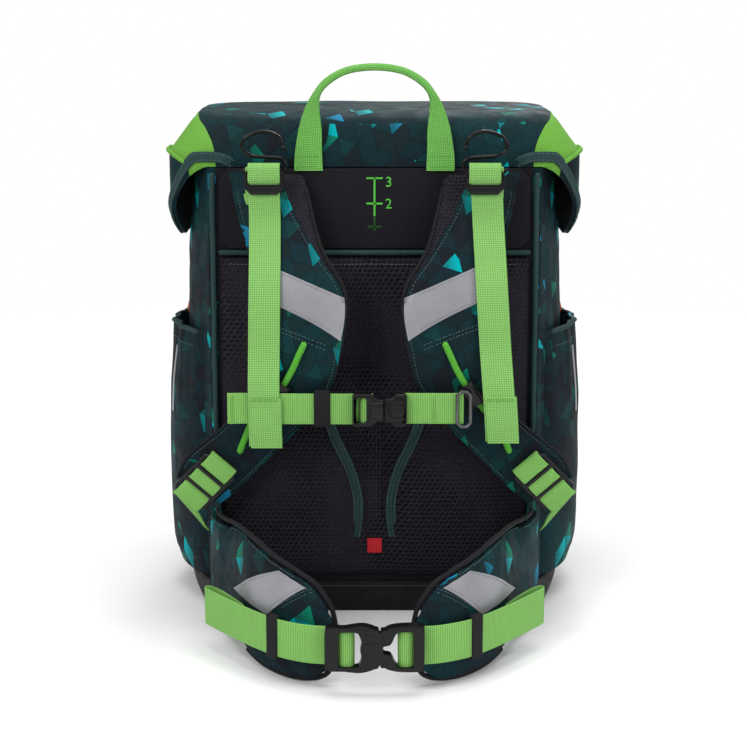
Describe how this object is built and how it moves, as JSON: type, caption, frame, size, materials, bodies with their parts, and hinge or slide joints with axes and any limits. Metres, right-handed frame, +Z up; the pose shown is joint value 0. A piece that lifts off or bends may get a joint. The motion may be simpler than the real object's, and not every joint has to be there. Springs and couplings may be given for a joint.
{
  "type": "school ransel",
  "caption": "Upright school backpack with a domed lid, padded back, shoulder, chest and hip straps, side pockets and a carry handle, standing on its base tray.",
  "frame": {"origin": "middle of the flat underside of the base tray", "axes": "+Z up along the bag's height, -Y towards the wearer, +X to the right in a view of the wearer's side"},
  "size_m": [0.3574, 0.4125, 0.4579],
  "materials": {
    "print": "satin woven cloth with a printed facet pattern",
    "boot": "matte",
    "patch": "matte elastic cloth",
    "piping": "matte",
    "plate": "fine grain",
    "mesh": "spacer mesh",
    "tab": "woven",
    "webbing": "woven webbing",
    "zip": "satin",
    "reflective": "reflective film",
    "wire": "glossy",
    "plastic": "satin"
  },
  "bodies": {
    "root": {"body_shell": "print", "base_boot": "boot", "lid": "print", "lid_corner_left": "patch", "lid_corner_right": "patch", "lid_binding_left": "piping", "lid_binding_right": "piping", "lid_clasp": "plastic", "back_plate": "plate", "back_cushion": "mesh", "cushion_piping": "piping", "lumbar_piping_left": "piping", "lumbar_piping_right": "piping", "body_piping_left": "piping", "body_piping_right": "piping", "red_tab": "tab", "carry_handle": "webbing", "side_pocket_left": "print", "side_pocket_right": "print", "zip_pull_left": "zip", "zip_pull_right": "zip", "shoulder_pad_left": "mesh", "shoulder_pad_right": "mesh", "shoulder_face_left": "print", "shoulder_face_right": "print", "shoulder_reflector_left": "reflective", "shoulder_reflector_right": "reflective", "rail_left": "webbing", "rail_right": "webbing", "wire_hook_left": "wire", "wire_hook_right": "wire", "top_loop_left": "webbing", "top_loop_right": "webbing", "top_buckle_left": "plastic", "top_buckle_right": "plastic", "lifter_strap_left": "webbing", "lifter_strap_right": "webbing", "chest_webbing_left": "webbing", "chest_webbing_right": "webbing", "chest_keeper": "mesh", "chest_buckle_socket": "plastic", "chest_buckle_plug": "plastic", "chest_slider_left": "plastic", "chest_slider_right": "plastic", "chest_ring": "wire", "lower_buckle_left": "plastic", "lower_buckle_right": "plastic", "lower_webbing_left": "webbing", "lower_webbing_right": "webbing", "hip_fin_left": "print", "hip_fin_right": "print", "fin_reflector_left": "reflective", "fin_reflector_right": "reflective", "hip_webbing_left": "webbing", "hip_webbing_right": "webbing", "hip_keeper_left": "mesh", "hip_keeper_right": "mesh", "hip_buckle_socket": "plastic", "hip_buckle_plug": "plastic"}
  },
  "joints": []
}
